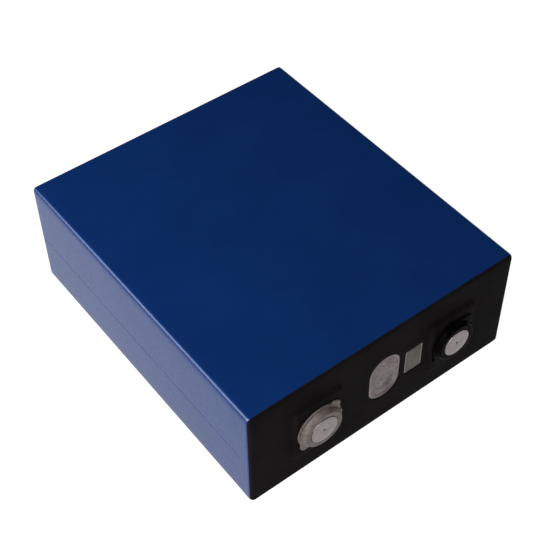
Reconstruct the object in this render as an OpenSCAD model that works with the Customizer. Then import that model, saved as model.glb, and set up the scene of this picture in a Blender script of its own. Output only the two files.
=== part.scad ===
// Prismatic lithium cell in blue film, lying on one wide face.
// +Z is up, through the cell's thickness, and +X runs along its width. The lid and the
// terminals face -Y. The origin is the middle of the bottom of the whole cell's box.
// Each sub-part is drawn upright, terminals up and base at z = 0, and lay_down() turns
// the upright cell onto its wide face.

/* [Body] */
// Width of the wrapped body, across its wide face
cell_w = 174; // [160:0.5:190]
// Thickness of the wrapped body
cell_t = 71.7; // [66:0.1:80]
// Length of the wrapped body, from the base to the face of the black cover
body_len = 201; // [180:0.5:220]
// Radius of the four long edges
edge_r = 2.75; // [2:0.25:5]
// Radius of the edges round the base
base_r = 2; // [1.5:0.1:3]

/* [Wrap] */
// Thickness of the blue film with its adhesive
film_t = 0.5; // [0.4:0.05:0.6]
// How far the lower side flap is set in under the upper one
flap_step = 0.2; // [0.1:0.05:0.25]
// Height of the upper flap's edge up the narrow sides, as a share of the thickness
flap_edge = 0.465; // [0.4:0.005:0.6]
// How far the film's front edge stays behind the cover's face
film_setback = 0.3; // [0.1:0.1:1]

/* [Can] */
// Wall of the can's four sides
can_wall = 0.8; // [0.6:0.05:1]
// Floor of the can
can_floor = 1.5; // [1:0.1:2]
// Thickness of the lid plate
lid_t = 3; // [2.6:0.1:3.4]

/* [Cover] */
// Thickness of the black cover's face
cover_t = 0.5; // [0.3:0.05:0.6]
// Thickness of the cover's turned-back rim
skirt_t = 0.25; // [0.15:0.05:0.3]
// Length of the turned-back rim, under the film
skirt_len = 6; // [4:0.5:10]
// Radius of the cover's edge, where it turns back
cover_r = 2; // [1.2:0.1:2.5]
// Width of each raised box round a terminal
box_w = 30.4; // [29:0.2:34]
// Length of each raised box, along the cell's thickness
box_l = 37; // [34:0.5:44]
// Height of the raised boxes above the cover's face
box_h = 2; // [1.5:0.1:2.2]

/* [Vent and window] */
// Width of the vent's opening in the cover
vent_w = 20.8; // [18:0.2:22]
// Length of the vent's opening, along the cell's thickness
vent_l = 32.2; // [30:0.2:38]
// Width of the lid's pale rim round the vent
vent_rim = 1.5; // [1:0.1:2]
// Width of the plain window beside the vent
window_w = 12.2; // [10:0.1:14]
// Length of the plain window
window_l = 18.6; // [14:0.2:24]
// Middle of the plain window, from the middle of the lid
window_x = 20; // [19:0.1:21]
// Middle of the filling port, from the middle of the lid
fill_x = -19.9; // [-22:0.1:-18]

/* [Terminals] */
// Distance between the two terminals' centres
terminal_gap = 90; // [84:0.5:100]
// Height of the pads above the cover's face
pad_h = 6.2; // [5.8:0.1:7]
// Radius of the metal pads
pad_r = 8.35; // [8:0.05:8.8]
// Radius of the dimple in the middle of each pad
dimple_r = 0.65; // [0.4:0.05:0.8]
// Gap between a pad and the ring round it
pad_gap = 0.4; // [0.1:0.05:0.6]
// Radius of the ring's top edge
ring_top_r = 11.4; // [10.8:0.1:11.8]
// Radius of the ring's upright wall
ring_wall_r = 12.5; // [12:0.1:13]
// Radius of the ring's flange
flange_r = 14.05; // [13.6:0.05:14.5]
// Thickness of the ring's flange
flange_t = 0.9; // [0.7:0.1:1.2]
// Distance from the ring's centre to the tip of each ear
ear_reach = 16.4; // [15.5:0.1:17]
// Width of each ear
ear_w = 7; // [5:0.2:8]
// Angle from each ear to the notch beside it
notch_turn = 28; // [24:1:32]
// Radius of each notch in the flange's edge
notch_r = 0.9; // [0.6:0.1:1.2]
// Radius of the terminal posts
post_r = 5; // [4:0.25:5.5]

/* [Electrodes] */
// Thickness of each wound roll
roll_t = 34; // [30:0.1:34]
// Width of each wound roll
roll_w = 170; // [150:0.5:170]
// Length of the wound rolls
roll_len = 183.9; // [160:0.1:184]
// Width of each stack of tab foils
tab_w = 38; // [25:1:40]

/* [Hidden] */
$fn = 96;

// Over every edge that a cut passes through
over = 1;
// Clearance between pieces that slide into each other on assembly
slip = 0.05;

can_w = cell_w - 2 * film_t;
can_t = cell_t - 2 * film_t;
can_r = edge_r - film_t;
cavity_w = can_w - 2 * can_wall;
cavity_t = can_t - 2 * can_wall;
cavity_r = can_r - can_wall;
cavity_z = film_t + can_floor;

lid_top = body_len - cover_t;
lid_under = lid_top - lid_t;
box_top = body_len + box_h;
overall_len = body_len + pad_h;
terminal_x = terminal_gap / 2;
seam_y = (flap_edge - 0.5) * cell_t;

// Heights in the terminal stack, upwards from the lid
flange_z = box_top + 0.1;
ring_wall_z = flange_z + 2.5;
ring_top_z = overall_len - 0.2;
pad_z = box_top;
pad_socket = 2;
dimple_deep = 1.5;
collar_r = 11.6;

// The stack below the lid: the seal's flange, the post's head and the collector
seal_flange_t = 1;
seal_r = post_r + 1.6;
seal_flange_r = post_r + 3.5;
head_r = post_r + 4;
head_t = 1.5;
insulator_t = seal_flange_t + head_t;
insulator_z = lid_under - insulator_t;
insulator_w = 62;
insulator_l = 64;
insulator_x = 51.5;
leg_w = 3.5;
collector_t = 1.2;
collector_z = insulator_z - collector_t;
collector_w = 54;
collector_l = 54;
collector_x = 50;

// The vent's pocket and hole
pocket_w = vent_w - 2 * vent_rim;
pocket_l = vent_l - 2 * vent_rim;
pocket_deep = 0.8;
vent_ledge = 1.5;
disc_t = 0.4;
score_deep = 0.15;
guard_w = 36;
guard_l = 60;
guard_t = 1.5;

// The filling port, from its mouth down
cap_r = 4;
cap_t = 0.7;
plug_head_r = 2.75;
plug_head_t = 0.8;
plug_r = 1.6;
filler_r = 3;

// Between the can's floor and the rolls
support_t = 0.8;
bag_gap = 0.1;
bag_t = 0.2;
bag_w = cavity_w - 4 * bag_gap;
bag_l = cavity_t - 2 * bag_gap;
bag_z = cavity_z + support_t;
bag_top = bag_z + 187;
roll_z = bag_z + bag_t + bag_gap;
roll_top = roll_z + roll_len;
roll_y = roll_t / 2 + bag_gap;
tape_t = 0.1;
band_h = 25;

// Tab stacks: each rises from its roll, then lies flat under the collector
tab_t = 1.5;
tab_in = 9;
tab_rise = 6;
tab_out = 26;
weld_tape_t = 0.2;

module rounded(w, l, r) {
  square([w - 2 * r, l], center = true);
  square([w, l - 2 * r], center = true);
  for (sx = [-1, 1], sy = [-1, 1])
    translate([sx * (w / 2 - r), sy * (l / 2 - r)]) circle(r);
}

module obround(w, l) {
  translate([0, (l - w) / 2]) circle(d = w);
  translate([0, (w - l) / 2]) circle(d = w);
  square([w, l - w], center = true);
}

// Side view of a block from z0 to z1, with its lower and upper corners rounded
module side_view(w, z0, z1, low_r, high_r) {
  translate([-w / 2, z0 + low_r]) square([w, z1 - z0 - low_r - high_r]);
  translate([low_r - w / 2, z0]) square([w - 2 * low_r, (z1 - z0) / 2]);
  translate([high_r - w / 2, (z0 + z1) / 2]) square([w - 2 * high_r, (z1 - z0) / 2]);
  for (s = [-1, 1]) {
    if (low_r > 0) translate([s * (w / 2 - low_r), z0 + low_r]) circle(low_r);
    if (high_r > 0) translate([s * (w / 2 - high_r), z1 - high_r]) circle(high_r);
  }
}

// Block with rounded long edges and rounded lower and upper rims
module soft_block(w, l, z0, z1, r, low_r, high_r) {
  intersection() {
    translate([0, 0, z0]) linear_extrude(z1 - z0) rounded(w, l, r);
    translate([0, l / 2 + over, 0]) rotate([90, 0, 0])
      linear_extrude(l + 2 * over) side_view(w, z0, z1, low_r, high_r);
    translate([-w / 2 - over, 0, 0]) rotate([90, 0, 90])
      linear_extrude(w + 2 * over) side_view(l, z0, z1, low_r, high_r);
  }
}

// Straight-sided plate from z0 to z1 with rounded corners
module plate(w, l, z0, z1, r) {
  translate([0, 0, z0]) linear_extrude(z1 - z0) rounded(w, l, r);
}

module disc(r, z0, z1) {
  translate([0, 0, z0]) cylinder(r = r, h = z1 - z0);
}

module lay_down() {
  translate([0, overall_len / 2, cell_t / 2]) rotate([90, 0, 0]) children();
}

// Two blocks that face each other on the lid, one at each terminal
module at_both() {
  for (s = [-1, 1]) translate([s * terminal_x, 0, 0]) children();
}

module can_solid() {
  soft_block(can_w, can_t, film_t, lid_top, can_r, base_r - film_t, cover_r - cover_t);
}

module wrap_outline() {
  rounded(cell_w - 2 * flap_step, cell_t, edge_r);
  intersection() {
    rounded(cell_w, cell_t, edge_r);
    translate([-cell_w, seam_y]) square([2 * cell_w, cell_t]);
  }
}

module blue_film_wrap() {
  color([0.05, 0.16, 0.42]) lay_down() difference() {
    intersection() {
      linear_extrude(body_len - film_setback) wrap_outline();
      soft_block(cell_w, cell_t, 0, body_len, edge_r, base_r, 0);
    }
    soft_block(can_w, can_t, film_t, body_len, can_r, base_r - film_t, 0);
    plate(can_w + 2 * skirt_t, can_t + 2 * skirt_t, body_len - skirt_len, body_len + over,
          can_r + skirt_t);
  }
}

module black_lid_cover() {
  color([0.09, 0.085, 0.085]) lay_down() difference() {
    union() {
      soft_block(can_w + 2 * skirt_t, can_t + 2 * skirt_t, body_len - skirt_len, body_len,
                 can_r + skirt_t, 0, cover_r);
      at_both() soft_block(box_w, box_l, lid_top, box_top, 1.5, 0, 1.2);
    }
    can_solid();
    at_both() plate(box_w - 2 * cover_t, box_l - 2 * cover_t, lid_top - over, box_top - cover_t, 1);
    at_both() disc(collar_r + 0.4, lid_top, box_top + over);
    translate([0, 0, lid_top - over]) linear_extrude(2 * over) obround(vent_w, vent_l);
    translate([window_x, 0, 0]) plate(window_w, window_l, lid_top - over, body_len + over, 1);
  }
}

module aluminium_can() {
  color([0.78, 0.79, 0.8]) lay_down() difference() {
    can_solid();
    plate(cavity_w, cavity_t, cavity_z, lid_top + over, cavity_r);
  }
}

module lid_plate() {
  color([0.72, 0.72, 0.71]) lay_down() difference() {
    intersection() {
      plate(cavity_w, cavity_t, lid_under, lid_top, cavity_r);
      can_solid();
    }
    at_both() disc(seal_r, lid_under - over, lid_top + over);
    translate([0, 0, lid_top - pocket_deep]) linear_extrude(pocket_deep + over)
      obround(pocket_w, pocket_l);
    translate([0, 0, lid_under - over]) linear_extrude(lid_t)
      obround(pocket_w - 2 * vent_ledge, pocket_l - 2 * vent_ledge);
    translate([fill_x, 0, 0]) {
      disc(cap_r + slip, lid_top - cap_t, lid_top + over);
      disc(plug_head_r + slip, lid_top - cap_t - plug_head_t, lid_top);
      disc(plug_r, lid_under - over, lid_top);
    }
  }
}

module vent_disc() {
  disc_z = lid_top - pocket_deep;
  color([0.8, 0.79, 0.78]) lay_down() difference() {
    translate([0, 0, disc_z]) linear_extrude(disc_t) obround(pocket_w - 2 * slip, pocket_l - 2 * slip);
    translate([0, 0, disc_z + disc_t - score_deep]) linear_extrude(over) difference() {
      obround(pocket_w - 5, pocket_l - 5);
      obround(pocket_w - 6, pocket_l - 6);
    }
  }
}

module vent_film() {
  color([0.9, 0.9, 0.9, 0.5]) lay_down()
    translate([0, 0, lid_top - pocket_deep + disc_t]) linear_extrude(0.15)
      obround(pocket_w - 2 * slip, pocket_l - 2 * slip);
}

module vent_guard() {
  color([0.92, 0.92, 0.9]) lay_down() difference() {
    plate(guard_w, guard_l, lid_under - guard_t, lid_under, 3);
    for (i = [-2:2]) translate([0, i * 6, 0])
      plate(14, 3, lid_under - guard_t - over, lid_under + over, 1.4);
    translate([fill_x, 0, 0]) disc(filler_r, lid_under - guard_t - over, lid_under + over);
  }
}

module fill_plug() {
  color([0.25, 0.2, 0.18]) lay_down() translate([fill_x, 0, 0]) {
    disc(plug_r, lid_under, lid_top - cap_t - slip);
    disc(plug_head_r, lid_top - cap_t - plug_head_t, lid_top - cap_t - slip);
  }
}

module fill_port_cap() {
  color([0.76, 0.76, 0.76]) lay_down() translate([fill_x, 0, 0]) disc(cap_r, lid_top - cap_t, lid_top);
}

module terminal_pad() {
  difference() {
    disc(pad_r, pad_z, overall_len);
    disc(post_r, pad_z - over, pad_z + pad_socket);
    disc(dimple_r, overall_len - dimple_deep, overall_len + over);
  }
}

module positive_terminal_pad() {
  color([0.86, 0.84, 0.84]) lay_down() translate([-terminal_x, 0, 0]) terminal_pad();
}

module negative_terminal_pad() {
  color([0.86, 0.84, 0.84]) lay_down() translate([terminal_x, 0, 0]) terminal_pad();
}

// Outline of the flange: two opposite ears, each with a notch on its clockwise side
module flange_outline() {
  difference() {
    union() {
      circle(flange_r);
      for (angle = [45, 225]) rotate(angle) {
        translate([0, -ear_w / 2]) square([ear_reach - ear_w / 2, ear_w]);
        translate([ear_reach - ear_w / 2, 0]) circle(d = ear_w);
      }
    }
    for (angle = [45, 225]) rotate(angle - notch_turn)
      translate([flange_r - notch_r / 2, 0]) circle(notch_r);
  }
}

module terminal_ring() {
  difference() {
    union() {
      rotate_extrude() polygon([
        [0, lid_top], [collar_r, lid_top], [collar_r, flange_z], [ring_wall_r, flange_z],
        [ring_wall_r, ring_wall_z], [ring_top_r, ring_top_z], [0, ring_top_z]]);
      translate([0, 0, flange_z]) linear_extrude(flange_t) flange_outline();
    }
    disc(post_r + slip, lid_top - over, pad_z + over);
    disc(pad_r + pad_gap, pad_z, ring_top_z + over);
  }
}

module positive_terminal_ring() {
  color([0.5, 0.44, 0.4]) lay_down() translate([-terminal_x, 0, 0]) terminal_ring();
}

module negative_terminal_ring() {
  color([0.04, 0.04, 0.045]) lay_down() translate([terminal_x, 0, 0]) terminal_ring();
}

module terminal_post() {
  disc(post_r, insulator_z, pad_z + pad_socket);
  disc(head_r, insulator_z, insulator_z + head_t);
}

module positive_terminal_post() {
  color([0.8, 0.8, 0.82]) lay_down() translate([-terminal_x, 0, 0]) terminal_post();
}

module negative_terminal_post() {
  color([0.72, 0.43, 0.28]) lay_down() translate([terminal_x, 0, 0]) terminal_post();
}

module base_block() {
  difference() {
    plate(box_w - 2 * cover_t - 2 * slip, box_l - 2 * cover_t - 2 * slip, lid_top,
          box_top - cover_t, 1);
    disc(collar_r + slip, lid_top - over, box_top);
  }
}

module positive_base_block() {
  color([0.14, 0.14, 0.15]) lay_down() translate([-terminal_x, 0, 0]) base_block();
}

module negative_base_block() {
  color([0.14, 0.14, 0.15]) lay_down() translate([terminal_x, 0, 0]) base_block();
}

module gasket() {
  difference() {
    union() {
      disc(seal_r, lid_under, lid_top);
      disc(seal_flange_r, lid_under - seal_flange_t, lid_under);
    }
    disc(post_r, lid_under - seal_flange_t - over, lid_top + over);
  }
}

module positive_gasket() {
  color([0.12, 0.12, 0.12]) lay_down() translate([-terminal_x, 0, 0]) gasket();
}

module negative_gasket() {
  color([0.12, 0.12, 0.12]) lay_down() translate([terminal_x, 0, 0]) gasket();
}

// Plate under one half of the lid, with two legs that hold the rolls down
module lid_insulator(side) {
  difference() {
    union() {
      translate([side * insulator_x, 0, 0])
        plate(insulator_w, insulator_l, insulator_z, lid_under, 2);
      for (sy = [-1, 1])
        translate([side * (insulator_x + (insulator_w - leg_w) / 2 - 1), sy * 20, 0])
          plate(leg_w, 14, roll_top + 0.2, insulator_z + over, 1);
    }
    translate([side * terminal_x, 0, 0]) {
      disc(seal_flange_r + slip, insulator_z, lid_under + over);
      disc(head_r + slip, insulator_z - over, insulator_z + head_t);
    }
    translate([fill_x, 0, 0]) disc(filler_r, insulator_z - over, lid_under + over);
  }
}

module positive_lid_insulator() {
  color([0.9, 0.9, 0.88]) lay_down() lid_insulator(-1);
}

module negative_lid_insulator() {
  color([0.9, 0.9, 0.88]) lay_down() lid_insulator(1);
}

module collector(side) {
  translate([side * collector_x, 0, 0])
    plate(collector_w, collector_l, collector_z, insulator_z, 3);
}

module positive_collector() {
  color([0.8, 0.81, 0.82]) lay_down() collector(-1);
}

module negative_collector() {
  color([0.75, 0.45, 0.3]) lay_down() collector(1);
}

// Side view of one stack of foils: out of the roll, up, then flat under the collector
module tab_view() {
  polygon([
    [tab_in, roll_top], [tab_in + tab_rise, roll_top], [tab_in + tab_rise, collector_z - 4],
    [tab_in + tab_rise + 2, collector_z - tab_t], [tab_out, collector_z - tab_t],
    [tab_out, collector_z], [tab_in, collector_z]]);
}

module tab_stack(side, roll_side) {
  translate([side * terminal_x - tab_w / 2, 0, 0]) rotate([90, 0, 90]) linear_extrude(tab_w)
    mirror([roll_side < 0 ? 1 : 0, 0]) tab_view();
}

module positive_tabs_a() {
  color([0.82, 0.82, 0.83]) lay_down() tab_stack(-1, 1);
}

module positive_tabs_b() {
  color([0.82, 0.82, 0.83]) lay_down() tab_stack(-1, -1);
}

module negative_tabs_a() {
  color([0.78, 0.5, 0.34]) lay_down() tab_stack(1, 1);
}

module negative_tabs_b() {
  color([0.78, 0.5, 0.34]) lay_down() tab_stack(1, -1);
}

module weld_tape(side) {
  flat_from = tab_in + tab_rise + 3;
  for (s = [-1, 1])
    translate([side * terminal_x, s * (flat_from + tab_out) / 2, 0])
      plate(tab_w, tab_out - flat_from, collector_z - tab_t - weld_tape_t, collector_z - tab_t, 1);
}

module positive_weld_tape() {
  color([0.2, 0.45, 0.8]) lay_down() weld_tape(-1);
}

module negative_weld_tape() {
  color([0.2, 0.45, 0.8]) lay_down() weld_tape(1);
}

module electrode_roll(side) {
  translate([0, side * roll_y, roll_z]) linear_extrude(roll_len) rotate(90) obround(roll_t, roll_w);
}

module electrode_roll_a() {
  color([0.3, 0.3, 0.32]) lay_down() electrode_roll(1);
}

module electrode_roll_b() {
  color([0.3, 0.3, 0.32]) lay_down() electrode_roll(-1);
}

module binding_tapes() {
  pair_l = 2 * (roll_y + roll_t / 2);
  color([0.15, 0.5, 0.3]) lay_down() for (z = [30, 95, 160]) difference() {
    plate(roll_w + 2 * tape_t, pair_l + 2 * tape_t, z, z + band_h, roll_t / 2 + tape_t);
    plate(roll_w, pair_l, z - over, z + band_h + over, roll_t / 2);
  }
}

module insulating_bag() {
  color([0.85, 0.88, 0.9, 0.6]) lay_down() difference() {
    plate(bag_w, bag_l, bag_z, bag_top, cavity_r - 2 * bag_gap);
    plate(bag_w - 2 * bag_t, bag_l - 2 * bag_t, bag_z + bag_t, bag_top + over, 1);
  }
}

module base_support_plate() {
  color([0.93, 0.93, 0.92]) lay_down() difference() {
    plate(cavity_w - 3, cavity_t - 3, cavity_z, cavity_z + support_t, 3);
    for (sx = [-1, 1]) translate([sx * 40, 0, 0]) disc(4, cavity_z - over, cavity_z + support_t + over);
  }
}

blue_film_wrap();
black_lid_cover();
aluminium_can();
lid_plate();
vent_disc();
vent_film();
vent_guard();
fill_plug();
fill_port_cap();
positive_terminal_pad();
negative_terminal_pad();
positive_terminal_ring();
negative_terminal_ring();
positive_terminal_post();
negative_terminal_post();
positive_base_block();
negative_base_block();
positive_gasket();
negative_gasket();
positive_lid_insulator();
negative_lid_insulator();
positive_collector();
negative_collector();
positive_tabs_a();
positive_tabs_b();
negative_tabs_a();
negative_tabs_b();
positive_weld_tape();
negative_weld_tape();
electrode_roll_a();
electrode_roll_b();
binding_tapes();
insulating_bag();
base_support_plate();
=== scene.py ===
"""Looks of a prismatic lithium cell: blue film, black lid cover, two terminals, vent and window."""
from math import atan2, cos, pi, radians, sin, sqrt, tan

import bmesh
import bpy
from mathutils import Matrix, Vector, noise
from mathutils.geometry import delaunay_2d_cdt


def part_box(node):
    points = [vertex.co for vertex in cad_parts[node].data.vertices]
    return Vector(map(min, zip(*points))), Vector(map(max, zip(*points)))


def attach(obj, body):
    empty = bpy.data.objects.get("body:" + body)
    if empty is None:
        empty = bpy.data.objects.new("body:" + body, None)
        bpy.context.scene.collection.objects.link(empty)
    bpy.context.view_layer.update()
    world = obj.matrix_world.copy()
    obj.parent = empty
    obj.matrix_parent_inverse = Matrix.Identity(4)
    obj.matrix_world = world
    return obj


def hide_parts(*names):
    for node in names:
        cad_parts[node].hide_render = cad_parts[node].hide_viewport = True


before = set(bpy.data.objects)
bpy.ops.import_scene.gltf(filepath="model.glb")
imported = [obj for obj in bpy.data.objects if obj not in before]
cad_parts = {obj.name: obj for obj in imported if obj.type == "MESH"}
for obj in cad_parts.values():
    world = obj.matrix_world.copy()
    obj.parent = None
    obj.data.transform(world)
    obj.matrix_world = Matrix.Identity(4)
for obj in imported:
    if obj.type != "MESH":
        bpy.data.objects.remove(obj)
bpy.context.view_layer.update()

MM = 0.001

# ---------------------------------------------------------------- places, from the frame
film_low, film_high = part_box("blue_film_wrap")
pad_low, pad_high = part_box("positive_terminal_pad")
disc_low, disc_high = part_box("vent_disc")
ring_low, ring_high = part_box("positive_terminal_ring")
can_low, can_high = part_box("aluminium_can")
lid_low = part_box("lid_plate")[0]
cover_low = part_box("black_lid_cover")[0]
support_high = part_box("base_support_plate")[1]

COVER_T = 0.5 * MM                      # black sheet over the lid plate
FACE_Y = lid_low.y - COVER_T            # the sheet's outer face
MID_Z = (film_low.z + film_high.z) / 2
HALF_W = (film_high.x - film_low.x) / 2
HALF_T = (film_high.z - film_low.z) / 2
BASE_Y = film_high.y
TERMINAL_X = -(pad_low.x + pad_high.x) / 2
PAD_R = (pad_high.x - pad_low.x) / 2
PAD_H = FACE_Y - pad_low.y              # pad above the sheet's face
DIMPLE_R = 0.65 * MM
BOX_H = FACE_Y - cover_low.y            # raised boxes above the sheet's face
FLANGE_R = (ring_high.x - ring_low.x) / 2
POCKET_HALF_W = (disc_high.x - disc_low.x) / 2
POCKET_HALF_L = (disc_high.z - disc_low.z) / 2
VENT_RIM = 1.55 * MM                    # lid showing between the cover and the vent's pocket
WINDOW_X, WINDOW_W, WINDOW_L = 20 * MM, 12.2 * MM, 18.6 * MM   # its middle, width and length


def on_lid(x, z, height):
    """A point over the lid: x and z from its middle, height outwards from the cover's face."""
    return Vector((x, FACE_Y - height, MID_Z + z))


# ---------------------------------------------------------------- camera
CAMERA_AT = Vector((-272.6, -367.2, 540.6)) * MM
CAMERA_AZIMUTH, CAMERA_ELEVATION, CAMERA_ROLL = -36.92, 48.19, -0.84    # degrees
LENS, SENSOR = 79.8, 36                 # millimetres, as Blender counts them


def add_camera():
    around, up = radians(CAMERA_AZIMUTH), radians(CAMERA_ELEVATION)
    back = Vector((sin(around) * cos(up), -cos(around) * cos(up), sin(up)))
    right = Vector((0, 0, 1)).cross(back).normalized()
    over = back.cross(right)
    roll = radians(CAMERA_ROLL)
    right, over = right * cos(roll) + over * sin(roll), over * cos(roll) - right * sin(roll)
    camera = bpy.data.objects.new("camera", bpy.data.cameras.new("camera"))
    bpy.context.scene.collection.objects.link(camera)
    turn = Matrix((right, over, back)).transposed().to_4x4()
    camera.matrix_world = Matrix.Translation(CAMERA_AT) @ turn
    camera.data.lens = LENS
    camera.data.sensor_width = SENSOR
    camera.data.clip_start = 0.05
    bpy.context.scene.camera = camera


# ---------------------------------------------------------------- materials
FOLD_START, FOLD_FULL = 2.4 * MM, 1.3 * MM      # where a fold's shine begins and is full, from the edge
GRAIN_LOW, GRAIN_HIGH = 0.3, 0.7                # the part of the fine noise's range that is used
MOTTLE_LOW, MOTTLE_HIGH = 0.35, 0.65            # the same for the broad noise, as ramp places


def node(tree, kind, **values):
    """A shader node; a value goes to the input of that name, or else to the property."""
    made = tree.nodes.new("ShaderNode" + kind)
    for name, value in values.items():
        if name in made.inputs:
            made.inputs[name].default_value = value
        else:
            setattr(made, name, value)
    return made


def ranged(tree, source, start, end, low=0.0, high=1.0, smooth=False):
    """Output of a node that turns the source's range start to end into low to high."""
    made = node(tree, "MapRange")
    if smooth:
        made.interpolation_type = "SMOOTHSTEP"
    for label, value in (("From Min", start), ("From Max", end), ("To Min", low), ("To Max", high)):
        made.inputs[label].default_value = value
    tree.links.new(source, made.inputs["Value"])
    return made.outputs["Result"]


def add_stain(tree, place, broad, colour, spot, radius, shade):
    """Mixes a dull mark into the colour, round a spot of the cell, with a ragged edge."""
    far = node(tree, "VectorMath", operation="DISTANCE")
    far.inputs[1].default_value = spot
    tree.links.new(place.outputs["Object"], far.inputs[0])
    ragged = node(tree, "Math", operation="MULTIPLY_ADD")
    tree.links.new(broad.outputs["Fac"], ragged.inputs[0])
    ragged.inputs[1].default_value = radius * 0.9
    tree.links.new(far.outputs["Value"], ragged.inputs[2])
    near = ranged(tree, ragged.outputs["Value"], radius * 0.6, radius * 1.5, 1.0, 0.0, smooth=True)
    mix = node(tree, "Mix", data_type="RGBA")
    tree.links.new(near, mix.inputs["Factor"])
    tree.links.new(colour, mix.inputs["A"])
    mix.inputs["B"].default_value = (*shade, 1)
    return mix.outputs["Result"]


def fold_mask(tree, place):
    """One along the four long folds of the wrap, nothing on its flat faces."""
    spot = node(tree, "VectorMath", operation="SUBTRACT")
    spot.inputs[1].default_value = (0, 0, MID_Z)
    tree.links.new(place.outputs["Object"], spot.inputs[0])
    size = node(tree, "VectorMath", operation="ABSOLUTE")
    tree.links.new(spot.outputs["Vector"], size.inputs[0])
    parts = node(tree, "SeparateXYZ")
    tree.links.new(size.outputs["Vector"], parts.inputs["Vector"])
    both = node(tree, "Math", operation="MULTIPLY")
    for k, (axis, half) in enumerate((("X", HALF_W), ("Z", HALF_T))):
        near = ranged(tree, parts.outputs[axis], half - FOLD_START, half - FOLD_FULL)
        tree.links.new(near, both.inputs[k])
    return both.outputs["Value"]


def material(name, dark, light, rough, metal=0.0, specular=0.5, grain=900.0, stretch=(1, 1, 1),
             bump=0.05, relief=0.0001, rough_spread=0.06, alpha=1.0, mottle=60.0, glow=0.0,
             tint=(1, 1, 1), shine_spread=0.0, fold_shine=0.0, stain=None):
    """Colour drifts between dark and light in a broad mottle; a fine grain drives roughness and bump.

    grain and mottle are noise scales per metre; relief is the grain's height in metres. With a
    shine_spread the grain drives the shine too, and the long folds shine more by fold_shine.
    """
    made = bpy.data.materials.new(name)
    made.use_nodes = True
    tree = made.node_tree
    shader = tree.nodes["Principled BSDF"]
    link = tree.links.new
    place = node(tree, "TexCoord")
    scale = node(tree, "Mapping", Scale=stretch)
    link(place.outputs["Object"], scale.inputs["Vector"])
    broad = node(tree, "TexNoise", Scale=mottle, Detail=3.0, Roughness=0.55)
    fine = node(tree, "TexNoise", Scale=grain, Detail=4.0, Roughness=0.6)
    for texture in (broad, fine):
        link(scale.outputs["Vector"], texture.inputs["Vector"])
    drift = node(tree, "ValToRGB")
    for stop, position, shade in zip(drift.color_ramp.elements, (MOTTLE_LOW, MOTTLE_HIGH), (dark, light)):
        stop.position, stop.color = position, (*shade, 1)
    link(broad.outputs["Fac"], drift.inputs["Fac"])
    colour = drift.outputs["Color"]
    if stain:
        colour = add_stain(tree, place, broad, colour, *stain)
    link(colour, shader.inputs["Base Color"])
    shader.inputs["Specular Tint"].default_value = (*tint, 1)
    shader.inputs["Emission Color"].default_value = (1, 1, 1, 1)
    spread = ranged(tree, fine.outputs["Fac"], GRAIN_LOW, GRAIN_HIGH, rough - rough_spread,
                    rough + rough_spread)
    link(spread, shader.inputs["Roughness"])
    height = node(tree, "Bump", Strength=bump, Distance=relief)
    link(fine.outputs["Fac"], height.inputs["Height"])
    link(height.outputs["Normal"], shader.inputs["Normal"])
    shader.inputs["Metallic"].default_value = metal
    shader.inputs["Specular IOR Level"].default_value = specular
    if shine_spread:
        shine = ranged(tree, fine.outputs["Fac"], GRAIN_LOW, GRAIN_HIGH, specular - shine_spread,
                       specular + shine_spread)
        level = node(tree, "Math", operation="MULTIPLY_ADD")
        link(fold_mask(tree, place), level.inputs[0])
        level.inputs[1].default_value = fold_shine
        link(shine, level.inputs[2])
        link(level.outputs["Value"], shader.inputs["Specular IOR Level"])
    shader.inputs["Emission Strength"].default_value = glow
    shader.inputs["Alpha"].default_value = alpha
    return made


FILM = material("blue_film", (0.0018, 0.012, 0.0605), (0.0021, 0.0136, 0.067), 0.22, specular=0.107,
                grain=480, bump=0.3, relief=0.00022, mottle=35, rough_spread=0.03, tint=(0.66, 0.81, 1.0),
                shine_spread=0.03, fold_shine=0.4)
SHEET = material("black_sheet", (0.0042, 0.0033, 0.0035), (0.0060, 0.0048, 0.005), 0.6, specular=0.01,
                 grain=1800, bump=0.2, relief=0.00008, mottle=50)
LID = material("lid_aluminium", (0.14, 0.125, 0.125), (0.18, 0.16, 0.16), 0.42, metal=1.0, grain=700,
               stretch=(0.12, 1, 1), bump=0.15, relief=0.00006)
CAN = material("can_aluminium", (0.6, 0.61, 0.62), (0.68, 0.69, 0.7), 0.35, metal=1.0, grain=500,
               stretch=(1, 0.1, 1), bump=0.1)
VENT = material("vent_aluminium", (0.098, 0.069, 0.072), (0.212, 0.168, 0.171), 0.5, metal=1.0, grain=500,
                bump=0.2, relief=0.0001, mottle=170,
                stain=(on_lid(2.3 * MM, -7.8 * MM, 0), 5.6 * MM, (0.024, 0.012, 0.018)))
PANEL = material("lid_panel", (0.055, 0.045, 0.039), (0.076, 0.066, 0.057), 0.45, metal=1.0, grain=700,
                 bump=0.15, relief=0.00006, mottle=220)
# painted shade: a darker metal for the inside of the pads' centring pits, standing in for the shade in
# that recess
PIT_PAINTED_SHADE = material("pad_pit_painted_shade", (0.03, 0.026, 0.026), (0.04, 0.034, 0.034), 0.7, metal=0.6)
CLEAR = material("clear_film", (0.12, 0.105, 0.1), (0.2, 0.18, 0.17), 0.3, grain=600, bump=0.2,
                 alpha=0.12, mottle=200)
PAD = material("pad_aluminium", (0.185, 0.158, 0.162), (0.215, 0.184, 0.188), 0.42, metal=1.0, grain=1500,
               bump=0.12, relief=0.00005, mottle=350)
GREY_RING = material("grey_ring_plastic", (0.062, 0.045, 0.041), (0.096, 0.077, 0.07), 0.45, grain=900,
                     specular=0.25, bump=0.12, mottle=260)
BLACK_RING = material("black_ring_plastic", (0.0008, 0.0007, 0.0007), (0.0015, 0.0014, 0.0014), 0.3,
                      specular=0.006, grain=900, bump=0.08)
POST = material("post_aluminium", (0.6, 0.6, 0.62), (0.7, 0.7, 0.72), 0.3, metal=1.0)
COPPER = material("copper", (0.66, 0.32, 0.2), (0.76, 0.42, 0.28), 0.32, metal=1.0)
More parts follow.
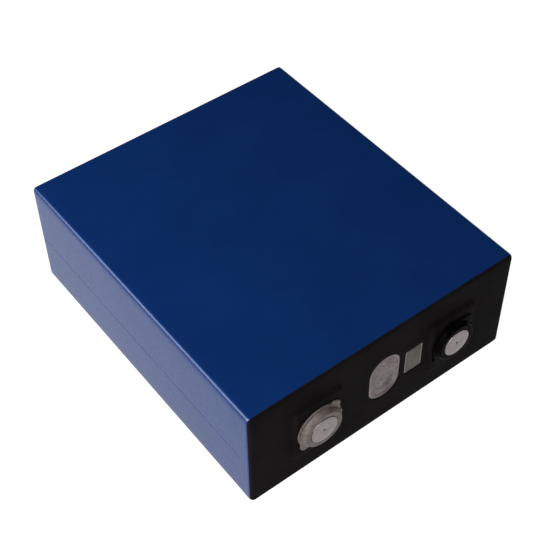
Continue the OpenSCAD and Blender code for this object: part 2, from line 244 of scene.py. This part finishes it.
RUBBER = material("seal_rubber", (0.02, 0.02, 0.02), (0.035, 0.034, 0.033), 0.75, bump=0.2)
BLOCK = material("block_plastic", (0.012, 0.012, 0.013), (0.02, 0.02, 0.021), 0.5)
WHITE = material("white_plastic", (0.74, 0.74, 0.7), (0.82, 0.82, 0.79), 0.5, mottle=90)
FOIL = material("foil_aluminium", (0.66, 0.66, 0.67), (0.76, 0.76, 0.77), 0.28, metal=1.0,
                stretch=(1, 0.2, 1), bump=0.3)
COPPER_FOIL = material("foil_copper", (0.7, 0.36, 0.24), (0.8, 0.46, 0.32), 0.3, metal=1.0,
                       stretch=(1, 0.2, 1), bump=0.3)
ROLL = material("electrode_stack", (0.06, 0.06, 0.065), (0.1, 0.1, 0.105), 0.6, stretch=(1, 0.05, 1),
                bump=0.3)
BLUE_TAPE = material("blue_tape", (0.04, 0.16, 0.42), (0.06, 0.2, 0.5), 0.45)
GREEN_TAPE = material("green_tape", (0.03, 0.22, 0.1), (0.05, 0.28, 0.14), 0.45)
BAG = material("bag_film", (0.72, 0.76, 0.78), (0.82, 0.86, 0.88), 0.3, alpha=0.5)
FLOOR = material("light_table", (0.09, 0.09, 0.09), (0.11, 0.11, 0.11), 0.7, specular=0.2, grain=60,
                 bump=0.02, mottle=3, glow=1.0)

CAD_FINISH = {
    "lid_plate": LID, "vent_guard": WHITE, "fill_plug": RUBBER, "fill_port_cap": LID,
    "positive_terminal_post": POST, "negative_terminal_post": COPPER,
    "positive_base_block": BLOCK, "negative_base_block": BLOCK, "positive_gasket": RUBBER,
    "negative_gasket": RUBBER, "positive_lid_insulator": WHITE, "negative_lid_insulator": WHITE,
    "positive_collector": POST, "negative_collector": COPPER, "positive_tabs_a": FOIL,
    "positive_tabs_b": FOIL, "negative_tabs_a": COPPER_FOIL, "negative_tabs_b": COPPER_FOIL,
    "positive_weld_tape": BLUE_TAPE, "negative_weld_tape": BLUE_TAPE, "electrode_roll_a": ROLL,
    "electrode_roll_b": ROLL, "binding_tapes": GREEN_TAPE, "insulating_bag": BAG,
    "base_support_plate": WHITE}


def finish_cad_nodes():
    """Gives the CAD nodes that stay their finish, in the one material slot that each has."""
    for name, finish in CAD_FINISH.items():
        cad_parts[name].material_slots[0].material = finish


# ---------------------------------------------------------------- mesh helpers
LOOP_POINTS = 128                       # round the vent and its opening
RING_POINTS, PAD_POINTS = 480, 160
WELD = 1e-7                             # points nearer than this, in metres, are one


def add_piece(name, points, faces, finish, slot, *stands_for, sharp):
    """Makes a mesh piece that rides on the cell and stands for CAD nodes; sharp is in degrees."""
    mesh = bpy.data.meshes.new(name)
    mesh.from_pydata(points, [], faces)
    tidy = bmesh.new()
    tidy.from_mesh(mesh)
    bmesh.ops.remove_doubles(tidy, verts=tidy.verts, dist=WELD)
    bmesh.ops.recalc_face_normals(tidy, faces=tidy.faces)
    tidy.to_mesh(mesh)
    tidy.free()
    mesh.shade_smooth()
    mesh.set_sharp_from_angle(angle=radians(sharp))
    mesh.materials.append(finish)
    piece = bpy.data.objects.new(name, mesh)
    bpy.context.scene.collection.objects.link(piece)
    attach(piece, "root")
    if stands_for:
        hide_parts(*stands_for)
    return piece


def loft(loops, wrap=False, start=0):
    """Points and quads of closed loops of equal length, numbered from start.

    wrap joins the last loop to the first.
    """
    count, quads = len(loops[0]), []
    pairs = range(len(loops) if wrap else len(loops) - 1)
    for i in pairs:
        a, b = start + i * count, start + (i + 1) % len(loops) * count
        quads += [(a + k, a + (k + 1) % count, b + (k + 1) % count, b + k) for k in range(count)]
    return [p for loop in loops for p in loop], quads


def capped_loft(loops):
    """Loft with a flat face over its first loop and over its last."""
    points, faces = loft(loops)
    count = len(loops[0])
    return points, faces + [list(range(count)), list(range(len(points) - count, len(points)))]


def smooth_step(value, low, high):
    t = min(1, max(0, (value - low) / (high - low)))
    return t * t * (3 - 2 * t)


def ray_to_box(angle, half_w, half_l, r):
    """Distance from the middle of a round-cornered rectangle to its outline, at an angle."""
    c, s = abs(cos(angle)), abs(sin(angle))
    far = min(half_w / max(c, 1e-9), half_l / max(s, 1e-9))
    cx, cz = half_w - r, half_l - r
    if far * c > cx and far * s > cz:
        along = c * cx + s * cz
        far = along + sqrt(max(0, along * along - cx * cx - cz * cz + r * r))
    return far


def box_loop(half_w, half_l, r, height, middle=0.0):
    """Loop of equal angles round a rounded rectangle (r = half_w makes it an obround)."""
    loop = []
    for k in range(LOOP_POINTS):
        angle = 2 * pi * (k + 0.5) / LOOP_POINTS
        far = ray_to_box(angle, half_w, half_l, r)
        loop.append(on_lid(middle + far * cos(angle), far * sin(angle), height))
    return loop


def corner_loop(half_w, half_l, r, height, middle=0.0, turns=6, spans=(12, 12)):
    """Loop round a round-cornered rectangle, with its points gathered in the corners, where it bends."""
    flat = []
    for quarter, (sx, sz) in enumerate(((1, 1), (-1, 1), (-1, -1), (1, -1))):
        x, z = sx * (half_w - r), sz * (half_l - r)
        for k in range(turns + 1):
            angle = pi / 2 * (quarter + k / turns)
            flat.append((x + r * cos(angle), z + r * sin(angle)))
        end_x, end_z = flat[-1]
        run_x, run_z = (-2 * x, 0) if quarter % 2 == 0 else (0, -2 * z)
        span = spans[quarter % 2]
        flat += [(end_x + run_x * k / span, end_z + run_z * k / span) for k in range(1, span)]
    return [on_lid(middle + x, z, height) for x, z in flat]


# ---------------------------------------------------------------- blue film
EDGE_R = 2.75 * MM
EDGE_LINES = 7                          # grid lines over each half of a round edge
FILM_T = 0.14 * MM
CURL_R = 2.6 * MM                       # the film's front rim turns in round the lid's edge
CURL_START = FACE_Y + CURL_R
CURL_ROWS = 9
CURL_RUN = 0.6 * MM                     # from the curl's start to the first plain grid line
LINE_GAP = 0.12 * MM                    # grid lines nearer than this to an extra line are left out
STEP_LONG, STEP_THICK = 4 * MM, 2.4 * MM
SIDE_FRONT, FACE_FRONT = FACE_Y + 1.6 * MM, FACE_Y + 1.35 * MM
FRONT_WANDER, FRONT_WAVES = 0.2 * MM, 28        # the front edge's unevenness, its waves per metre
SEAM_Z = -0.035 * 2 * HALF_T
SEAM_END = FACE_Y + 16 * MM
SEAM_LINES = (-0.62, -0.4, -0.18, -0.07, 0.05, 0.3)     # grid lines by the seam, millimetres over it
PLY, GROOVE = 0.05 * MM, 0.07 * MM      # the lap's step, the groove at its edge
CROWN = 0.2 * MM                        # the wide faces' edges lie this far under their middles
SIDE_DROP, SIDE_ROLL = 0.05 * MM, 0.15 * MM     # the narrow sides' inset, and more by their long edges
SIDE_ROLL_WIDTH = 7 * MM
SKIN_DROP = 0.05 * MM                   # the whole film lies this far inside the plain box
SKIN_WAVE, SKIN_WAVES = 0.02 * MM, 40   # its unevenness, and the waves per metre
BASE_FLAT = 0.2 * MM
SHEET_MARGIN, SHEET_CORNER, SHEET_T = 7 * MM, 4 * MM, 0.14 * MM
SHEET_SINK = 0.07 * MM                  # from the flat base down to the sheet's hidden underside


def axis_lines(low, high, step, round_low=True, extra=()):
    """Grid lines along one side of the wrap, denser where its edges are round."""
    bend = [EDGE_R * tan(radians(45 * i / EDGE_LINES)) for i in range(1, EDGE_LINES + 1)]
    start, end = low + EDGE_R * round_low, high - EDGE_R
    count = max(1, round((end - start) / step))
    lines = [start + (end - start) * i / count for i in range(count + 1)]
    if round_low:
        lines = [start - b for b in reversed(bend)] + lines
    lines += [end + b for b in bend]
    lines = [v for v in lines if all(abs(v - e) > LINE_GAP for e in extra)]
    return sorted(lines + list(extra))


def seam_inset(y, z):
    """On the narrow sides the upper flap laps over the lower one, with a fine groove at its edge."""
    fade = smooth_step(y, CURL_START + 2 * MM, SEAM_END)
    below = (SEAM_Z - z) / MM           # millimetres under the seam
    edge = smooth_step(below, -0.05, 0.08)
    groove = edge * (1 - smooth_step(below, 0.18, 0.6))
    return fade * GROOVE * groove + PLY * edge * (0.3 + 0.7 * fade)


def film_inset(x, y, z, out):
    """How far the film lies inside the plain box: each face bulges a little, edges stay soft."""
    u = x / HALF_W
    v = (2 * y - BASE_Y - FACE_Y) / (BASE_Y - FACE_Y)
    wide = CROWN * (1 - (1 - u ** 4) * (1 - v ** 4))
    roll = max(0, (abs(z) - HALF_T) / SIDE_ROLL_WIDTH + 1)
    side = SIDE_DROP + SIDE_ROLL * roll * roll + seam_inset(y, z)
    inset = wide * out.z ** 2 + side * out.x ** 2 + BASE_FLAT * out.y ** 2
    front = y - FACE_Y
    if front < CURL_R:
        inset += CURL_R - sqrt(CURL_R ** 2 - (CURL_R - front) ** 2)
    wave = SKIN_WAVE * noise.noise(Vector((x, y, z)) * SKIN_WAVES) * (1 - out.y ** 2)
    return inset + SKIN_DROP - wave


def film_skin(x, y, z, depth):
    """Point of the wrap for a point of the plain box, depth under its outer face."""
    inner = Vector((
        min(max(x, EDGE_R - HALF_W), HALF_W - EDGE_R), min(y, BASE_Y - EDGE_R),
        min(max(z, EDGE_R - HALF_T), HALF_T - EDGE_R)))
    out = (Vector((x, y, z)) - inner).normalized()
    point = inner + out * (EDGE_R - film_inset(x, y, z, out) - depth)
    return Vector((point.x, point.y, point.z + MID_Z))


def film_front(x, z):
    """The cut front edge: its own depth on the wide faces and the narrow sides, never quite straight."""
    side = smooth_step(abs(x), HALF_W - EDGE_R, HALF_W)
    wander = FRONT_WANDER * noise.noise(Vector((x * FRONT_WAVES, z * FRONT_WAVES, 3.1)))
    return FACE_FRONT + (SIDE_FRONT - FACE_FRONT) * side + wander


def make_film():
    """The wrap as one sheet of the film's thickness: wide faces, narrow sides, base and curled front."""
    seam_lines = [SEAM_Z + d * MM for d in SEAM_LINES]
    xs = axis_lines(-HALF_W, HALF_W, STEP_LONG)
    zs = axis_lines(-HALF_T, HALF_T, STEP_THICK, extra=seam_lines)
    ys = axis_lines(CURL_START + CURL_RUN, BASE_Y, STEP_LONG, round_low=False)
    nx, ny, nz = len(xs) - 1, len(ys) - 1 + CURL_ROWS, len(zs) - 1
    points, index, faces = [], {}, []

    def vertex(i, j, k, depth):
        key = (i, j, k, depth)
        if key not in index:
            y = ys[max(0, j - CURL_ROWS)]
            if j < CURL_ROWS:
                y += (film_front(xs[i], zs[k]) - y) * (1 - j / CURL_ROWS)
            index[key] = len(points)
            points.append(film_skin(xs[i], y, zs[k], depth))
        return index[key]

    def patch(first, second, corner):
        for a in range(first):
            for b in range(second):
                for depth in (0.0, FILM_T):
                    faces.append([vertex(*corner(a + p, b + q), depth)
                                  for p, q in ((0, 0), (1, 0), (1, 1), (0, 1))])

    for k in (0, nz):
        patch(nx, ny, lambda a, b, k=k: (a, b, k))
    for i in (0, nx):
        patch(ny, nz, lambda a, b, i=i: (i, a, b))
    patch(nx, nz, lambda a, b: (a, ny, b))
    rim = [(i, 0, 0) for i in range(nx)] + [(nx, 0, k) for k in range(nz)]
    rim += [(i, 0, nz) for i in range(nx, 0, -1)] + [(0, 0, k) for k in range(nz, 0, -1)]
    for a, b in zip(rim, rim[1:] + rim[:1]):
        faces.append([vertex(*a, 0.0), vertex(*b, 0.0), vertex(*b, FILM_T), vertex(*a, FILM_T)])
    add_piece("blue_film", points, faces, FILM, "blue_film", "blue_film_wrap", sharp=60)


def make_end_sheet():
    """Rectangle of the same film that closes the wrap's folded end, on the cell's base."""
    level = BASE_Y - BASE_FLAT - SHEET_SINK
    loops = []
    # inset in millimetres, height as a share of the sheet's thickness
    for inset, lift in ((0, 0), (0, 0.6), (0.04, 0.86), (0.12, 0.97), (0.3, 1), (1.2, 1)):
        half_w, half_l = (half - SHEET_MARGIN - inset * MM for half in (HALF_W, HALF_T))
        loop = corner_loop(half_w, half_l, SHEET_CORNER - inset * MM, 0, turns=10)
        loops.append([Vector((p.x, level + lift * SHEET_T, p.z)) for p in loop])
    points, faces = capped_loft(loops)
    add_piece("film_end_sheet", points, faces, FILM, "blue_film", sharp=50)


# ---------------------------------------------------------------- can
CAN_HALF_W, CAN_HALF_L = (can_high.x - can_low.x) / 2, (can_high.z - can_low.z) / 2
CAN_CORNER, CAN_WALL = 2.5 * MM, 0.8 * MM
CAN_BASE_ROUND, CAN_RIM_ROUND = 2.3 * MM, 1.5 * MM


def make_can():
    """Drawn can: one shell, rounded at its base and its rim, with the open front the lid plate fills."""
    turns = [radians(10 * i) for i in range(10)]
    # (inset, y): the base's round edge, the rim's outer round edge, then the wall's inner face
    shape = [(CAN_BASE_ROUND * (1 - sin(t)), can_high.y - CAN_BASE_ROUND * (1 - cos(t))) for t in turns]
    shape += [(CAN_RIM_ROUND * (1 - cos(t)), lid_low.y + CAN_RIM_ROUND * (1 - sin(t))) for t in turns[:7]]
    shape += [(CAN_WALL, shape[-1][1]), (CAN_WALL, support_high.y)]
    loops = [corner_loop(CAN_HALF_W - inset, CAN_HALF_L - inset, CAN_CORNER - inset, FACE_Y - y)
             for inset, y in shape]
    points, faces = capped_loft(loops)
    add_piece("can", points, faces, CAN, "can_aluminium", "aluminium_can", sharp=50)


# ---------------------------------------------------------------- black cover
COVER_HALF_W = HALF_W - 0.38 * MM
COVER_HALF_L = HALF_T - 0.42 * MM
COVER_ROUND = 2 * MM
COVER_CORNER = 2.45 * MM
COVER_GRID = 3 * MM                     # spacing of the points on the cover's flat part
COVER_SKIN = 0.12 * MM                  # thickness added to the sheet's surface
SKIRT = 6 * MM                          # the cover's side goes this far back, under the film
BOX_HALF_W, BOX_HALF_L, BOX_CORNER = 15.2 * MM, 18.5 * MM, 2 * MM
BOX_STEP = 2 * MM                       # the height that raised_box's table of walls is made for
COLLAR_HOLE = 12 * MM
WINDOW_CORNER = 1 * MM
VENT_HALF_W = POCKET_HALF_W + VENT_RIM
VENT_HALF_L = POCKET_HALF_L + VENT_RIM


def inside(x, z, loop):
    """True where a point lies inside a flat closed outline."""
    odd = False
    for (ax, az), (bx, bz) in zip(loop, loop[1:] + loop[:1]):
        if (az > z) != (bz > z) and x < ax + (z - az) / (bz - az) * (bx - ax):
            odd = not odd
    return odd


def flat_sheet(outer, holes, spacing):
    """Triangles of the flat part of the cover, between its rim and its holes, with inner points."""
    loops = [outer] + holes
    outlines = [[(p.x, p.z - MID_Z) for p in loop] for loop in loops]
    flat, edges = [], []
    for outline in outlines:
        first = len(flat)
        flat += [Vector(p) for p in outline]
        edges += [(first + k, first + (k + 1) % len(outline)) for k in range(len(outline))]
    count_x, count_z = int(COVER_HALF_W / spacing), int(COVER_HALF_L / spacing)
    rims = list(flat)
    for i in range(-count_x, count_x + 1):
        for k in range(-count_z, count_z + 1):
            x, z = (i + 0.5 * (k % 2)) * spacing, k * spacing * 0.87
            clear = min((Vector((x, z)) - r).length for r in rims) > 0.5 * spacing
            if clear and inside(x, z, outlines[0]) and not any(inside(x, z, o) for o in outlines[1:]):
                flat.append(Vector((x, z)))
    spots, _, triangles, *_ = delaunay_2d_cdt(flat, edges, [], 0, WELD)
    kept = []
    for triangle in triangles:
        x = sum(spots[k].x for k in triangle) / 3
        z = sum(spots[k].y for k in triangle) / 3
        if inside(x, z, outlines[0]) and not any(inside(x, z, o) for o in outlines[1:]):
            kept.append(triangle)
    return [on_lid(p.x, p.y, 0) for p in spots], kept


def lip(loop, half_w, half_l, r, middle=0.0):
    """Soft edge of an opening and its wall down to the lid plate."""
    # (outwards, height), in millimetres
    shape = ((0.16, 0), (0.07, -0.02), (0.02, -0.07), (0, -0.14), (0, -0.5))
    return [loop(half_w + out * MM, half_l + out * MM, r + out * MM, height * MM, middle)
            for out, height in shape]


def raised_box(middle):
    """Loops up the soft walls of a raised box, over its top and into the collar's hole."""
    # (outwards, height), in millimetres
    walls = ((1.5, 0), (0.9, 0.04), (0.45, 0.2), (0.15, 0.55), (0.0, 1.0), (-0.15, 1.45), (-0.45, 1.8),
             (-0.9, 1.96), (-1.5, 2.0))
    rise = BOX_H / BOX_STEP
    loops = [corner_loop(BOX_HALF_W + out * MM, BOX_HALF_L + out * MM, BOX_CORNER + out * MM,
                         height * rise * MM, middle) for out, height in walls]
    last = loops[-1]
    for share in (0.35, 0.7, 1.0):
        loop = []
        for p in last:
            angle = atan2(p.z - MID_Z, p.x - middle)
            ring = on_lid(middle + COLLAR_HOLE * cos(angle), COLLAR_HOLE * sin(angle), BOX_H)
            loop.append(p.lerp(ring, share))
        loops.append(loop)
    wall = [on_lid(p.x, p.z - MID_Z, BOX_H - COVER_T) for p in loops[-1]]
    return loops + [wall]


def make_cover():
    """The black sheet: flat middle, two raised boxes, two openings, and a rim that turns back."""
    bends = [(COVER_ROUND * (1 - sin(radians(a))), -COVER_ROUND * (1 - cos(radians(a))))
             for a in range(0, 91, 10)]
    rim = [corner_loop(COVER_HALF_W - inset, COVER_HALF_L - inset, max(COVER_CORNER - inset, 0.5 * MM),
                       height, spans=(56, 22)) for inset, height in bends]
    rim.append([p + Vector((0, SKIRT - COVER_ROUND, 0)) for p in rim[-1]])
    openings = [raised_box(-TERMINAL_X), raised_box(TERMINAL_X),
                lip(box_loop, VENT_HALF_W, VENT_HALF_L, VENT_HALF_W),
                lip(corner_loop, WINDOW_W / 2, WINDOW_L / 2, WINDOW_CORNER, WINDOW_X)]
    points, faces = flat_sheet(rim[0], [loops[0] for loops in openings], COVER_GRID)
    for loops in [rim] + openings:
        more, quads = loft(loops, start=len(points))
        points += more
        faces = list(faces) + quads
    cover = add_piece("black_cover", points, faces, SHEET, "black_sheet", "black_lid_cover", sharp=50)
    sheet = cover.modifiers.new("sheet", "SOLIDIFY")
    sheet.thickness = COVER_SKIN
    sheet.offset = -1


# ---------------------------------------------------------------- terminals
EAR_ANGLES = (45, 225)                  # degrees
EAR_REACH, EAR_HALF_W = 16.4 * MM, 3.5 * MM
EAR_BLEND = 0.5 * MM                    # softens the corner where an ear leaves the circle
NOTCH_TURN, NOTCH_R = 28, 0.9 * MM      # degrees from the ear, radius


def flange_reach(angle):
    """Outline of the ring's flange: a circle with two ears, each with a notch beside it."""
    far = FLANGE_R
    for ear in EAR_ANGLES:
        turn = (angle - radians(ear) + pi) % (2 * pi) - pi
        if abs(turn) < pi / 2:
            middle = EAR_REACH - EAR_HALF_W
            across = middle * abs(sin(turn))
            if across < EAR_HALF_W:
                tip = middle * cos(turn) + sqrt(EAR_HALF_W ** 2 - across ** 2)
                side = EAR_HALF_W / max(abs(sin(turn)), 1e-6)
                ear_far = tip if side * cos(turn) > middle else side
                blend = max(0, EAR_BLEND - abs(far - ear_far)) / EAR_BLEND
                far = max(far, ear_far) + blend * blend * EAR_BLEND * 0.25
        turn = (angle - radians(ear - NOTCH_TURN) + pi) % (2 * pi) - pi
        middle = FLANGE_R - NOTCH_R / 2
        if abs(turn) < pi / 2 and middle * abs(sin(turn)) < NOTCH_R:
            far = min(far, middle * cos(turn) - sqrt(NOTCH_R ** 2 - (middle * sin(turn)) ** 2))
    return far


def make_ring(name, middle, finish, slot, node_name):
    """Plastic ring round a pad: a foot in the cover's raised box, a flange with ears, a round collar."""
    flange_low, flange_high, top = 2.1, 3.0, PAD_H / MM - 0.2
    # (radius or flange inset as a negative value, height), both in millimetres
    profile = [(5.05, -0.5), (11.6, -0.5), (11.6, flange_low - 0.05), (11.8, flange_low),
               (-0.5, flange_low), (-0.14, flange_low), (-0.03, flange_low + 0.05),
               (-0.001, flange_low + 0.18),
               (-0.001, flange_high - 0.22), (-0.05, flange_high - 0.07), (-0.2, flange_high),
               (-0.6, flange_high), (12.85, flange_high), (12.62, flange_high + 0.05),
               (12.5, flange_high + 0.22), (12.46, 4.3), (12.4, 4.5), (12.25, 4.68), (11.72, 5.62),
               (11.55, 5.84), (11.3, top - 0.02), (11.1, top), (8.9, top), (8.67, top - 0.04),
               (8.54, top - 0.18), (8.5, top - 0.6), (8.5, 2.0), (5.05, 2.0)]
    loops = []
    for reach, height in profile:
        loop = []
        for k in range(RING_POINTS):
            angle = 2 * pi * k / RING_POINTS
            far = reach * MM if reach > 0 else flange_reach(angle) + reach * MM
            loop.append(on_lid(middle + far * cos(angle), far * sin(angle), height * MM))
        loops.append(loop)
    points, faces = loft(loops, wrap=True)
    add_piece(name, points, faces, finish, slot, node_name, sharp=45)


def make_pad(name, middle, node_name):
    """Round pad with a soft edge and a centring mark, whose pit is coloured darker as painted shade."""
    top, under = PAD_H / MM, 2.0
    dimple = DIMPLE_R / MM
    # (radius, height), both in millimetres
    profile = [(0.3, top - 1.5), (0.6, top - 1.3), (dimple, top - 0.1), (dimple + 0.04, top - 0.03),
               (dimple + 0.14, top), (8.25, top), (8.32, top - 0.02), (PAD_R / MM, top - 0.08),
               (PAD_R / MM, under)]
    turns = [2 * pi * k / PAD_POINTS for k in range(PAD_POINTS)]
    loops = [[on_lid(middle + far * MM * cos(t), far * MM * sin(t), height * MM) for t in turns]
             for far, height in profile]
    points, faces = capped_loft(loops)
    pad = add_piece(name, points, faces, PAD, "pad_aluminium", node_name, sharp=35)
    # second slot: the pit's faces get the darker material, as painted shade inside the dimple
    pad.data.materials.append(PIT_PAINTED_SHADE)
    middle_point = on_lid(middle, 0, PAD_H)
    for face in pad.data.polygons:
        if (face.center - middle_point).length < 2 * MM and face.center.y > middle_point.y + 0.05 * MM:
            face.material_index = 1


# ---------------------------------------------------------------- vent and window
CLEAR_INSET = 0.75 * MM                 # from the pocket's edge to the clear film's
CLEAR_LEVEL, CLEAR_T = -0.775 * MM, 0.02 * MM
CLEAR_WAVE, CLEAR_WAVES = 0.022 * MM, 210       # its unevenness, and the waves per metre
PANEL_MARGIN, PANEL_CORNER = 1.15 * MM, 1.5 * MM


def make_vent():
    """Burst disc: a low weld bead round it, a scored line and a faint dome."""
    # (inset from the pocket's edge, height), in millimetres
    shape = ((0, -1.25), (0, -0.58), (0.08, -0.51), (0.3, -0.48), (0.5, -0.52), (0.68, -0.66),
             (0.85, -0.82), (1.1, -0.86), (1.9, -0.87), (2.02, -0.92), (2.14, -0.92), (2.26, -0.87),
             (3.4, -0.86), (5.0, -0.84), (7.0, -0.83))
    loops = [box_loop(POCKET_HALF_W - i * MM, POCKET_HALF_L - i * MM, POCKET_HALF_W - i * MM, h * MM)
             for i, h in shape]
    points, faces = capped_loft(loops)
    add_piece("vent_foil", points, faces, VENT, "vent_aluminium", "vent_disc", sharp=60)


def make_vent_film():
    """Thin clear film laid over the disc, inside the bead, not quite flat."""
    half_w, half_l = POCKET_HALF_W - CLEAR_INSET, POCKET_HALF_L - CLEAR_INSET
    shares = (0.04, 0.16, 0.3, 0.44, 0.58, 0.72, 0.86, 0.95, 1)     # of the way to the film's edge
    loops = []
    for share, skin in [(v, 0) for v in shares] + [(v, 1) for v in reversed(shares)]:
        loop = []
        for p in box_loop(half_w, half_l, half_w, 0):
            x, z = p.x * share, (p.z - MID_Z) * share
            wave = noise.noise(Vector((x * CLEAR_WAVES, z * CLEAR_WAVES, 0.5))) * (1 - share ** 6)
            loop.append(on_lid(x, z, CLEAR_LEVEL + CLEAR_T * (1 - skin) + CLEAR_WAVE * wave))
        loops.append(loop)
    points, faces = capped_loft(loops)
    add_piece("vent_clear_film", points, faces, CLEAR, "clear_film", "vent_film", sharp=60)


def make_window_plate():
    """Plain pressed panel of the lid inside the window, with a pale margin round it."""
    half_w, half_l = WINDOW_W / 2 - PANEL_MARGIN, WINDOW_L / 2 - PANEL_MARGIN
    # (inset, height), in millimetres
    shape = ((0, -0.52), (0, -0.44), (0.05, -0.41), (0.16, -0.4), (1.4, -0.4))
    loops = [corner_loop(half_w - i * MM, half_l - i * MM, PANEL_CORNER - i * 0.5 * MM, h * MM, WINDOW_X)
             for i, h in shape]
    points, faces = capped_loft(loops)
    add_piece("lid_window_panel", points, faces, PANEL, "lid_aluminium", sharp=60)


# ---------------------------------------------------------------- floor and light
ROOM_LIGHT_SIDE = (-0.45, -0.6, 0.66)   # direction of the room's lighter side
ROOM_TURN = -0.5                        # lean towards that side where the room starts to get lighter
ROOM_DARK, ROOM_LIGHT = 0.02, 0.12
ROOM_COLOUR = (0.97, 0.98, 1, 1)
FLOOR_HALF = 8                          # metres
FLOOR_GAP = 0.2 * MM                    # the floor lies just under the film
LAMP_AIM = (0, 0, 0.04)                 # both lamps point at the cell's middle
# name, place and size in metres, power in watts
LAMPS = (("key_left", (-0.58, 0.22, 0.36), (0.66, 0.3), 4.2),
         ("fill_front", (-0.76, -0.16, 0.64), (0.95, 0.95), 24.5))


def add_floor():
    mesh = bpy.data.meshes.new("floor")
    half = FLOOR_HALF
    mesh.from_pydata([(-half, -half, 0), (half, -half, 0), (half, half, 0), (-half, half, 0)], [],
                     [(0, 1, 2, 3)])
    mesh.materials.append(FLOOR)
    floor = bpy.data.objects.new("floor", mesh)
    floor.location.z = film_low.z - FLOOR_GAP
    bpy.context.scene.collection.objects.link(floor)


def add_light(name, spot, size, power):
    lamp = bpy.data.lights.new(name, "AREA")
    lamp.shape = "RECTANGLE"
    lamp.size, lamp.size_y = size
    lamp.energy = power
    light = bpy.data.objects.new(name, lamp)
    light.location = spot
    light.rotation_euler = (Vector(LAMP_AIM) - Vector(spot)).to_track_quat("-Z", "Y").to_euler()
    bpy.context.scene.collection.objects.link(light)


def studio_world():
    """Dim room, a little lighter towards the front left, where the lamps stand."""
    world = bpy.data.worlds.new("studio")
    world.use_nodes = True
    tree = world.node_tree
    place = node(tree, "TexCoord")
    lean = node(tree, "VectorMath", operation="DOT_PRODUCT")
    lean.inputs[1].default_value = ROOM_LIGHT_SIDE
    tree.links.new(place.outputs["Generated"], lean.inputs[0])
    fade = ranged(tree, lean.outputs["Value"], ROOM_TURN, 1.0, ROOM_DARK, ROOM_LIGHT, smooth=True)
    tree.links.new(fade, tree.nodes["Background"].inputs["Strength"])
    tree.nodes["Background"].inputs["Color"].default_value = ROOM_COLOUR
    bpy.context.scene.world = world


def add_lights():
    for lamp in LAMPS:
        add_light(*lamp)
    studio_world()
    bpy.context.scene.view_settings.view_transform = "Standard"


add_camera()
finish_cad_nodes()
make_can()
make_film()
make_end_sheet()
make_cover()
make_ring("positive_ring", -TERMINAL_X, GREY_RING, "grey_ring_plastic", "positive_terminal_ring")
make_ring("negative_ring", TERMINAL_X, BLACK_RING, "black_ring_plastic", "negative_terminal_ring")
make_pad("positive_pad", -TERMINAL_X, "positive_terminal_pad")
make_pad("negative_pad", TERMINAL_X, "negative_terminal_pad")
make_vent()
make_vent_film()
make_window_plate()
add_floor()
add_lights()
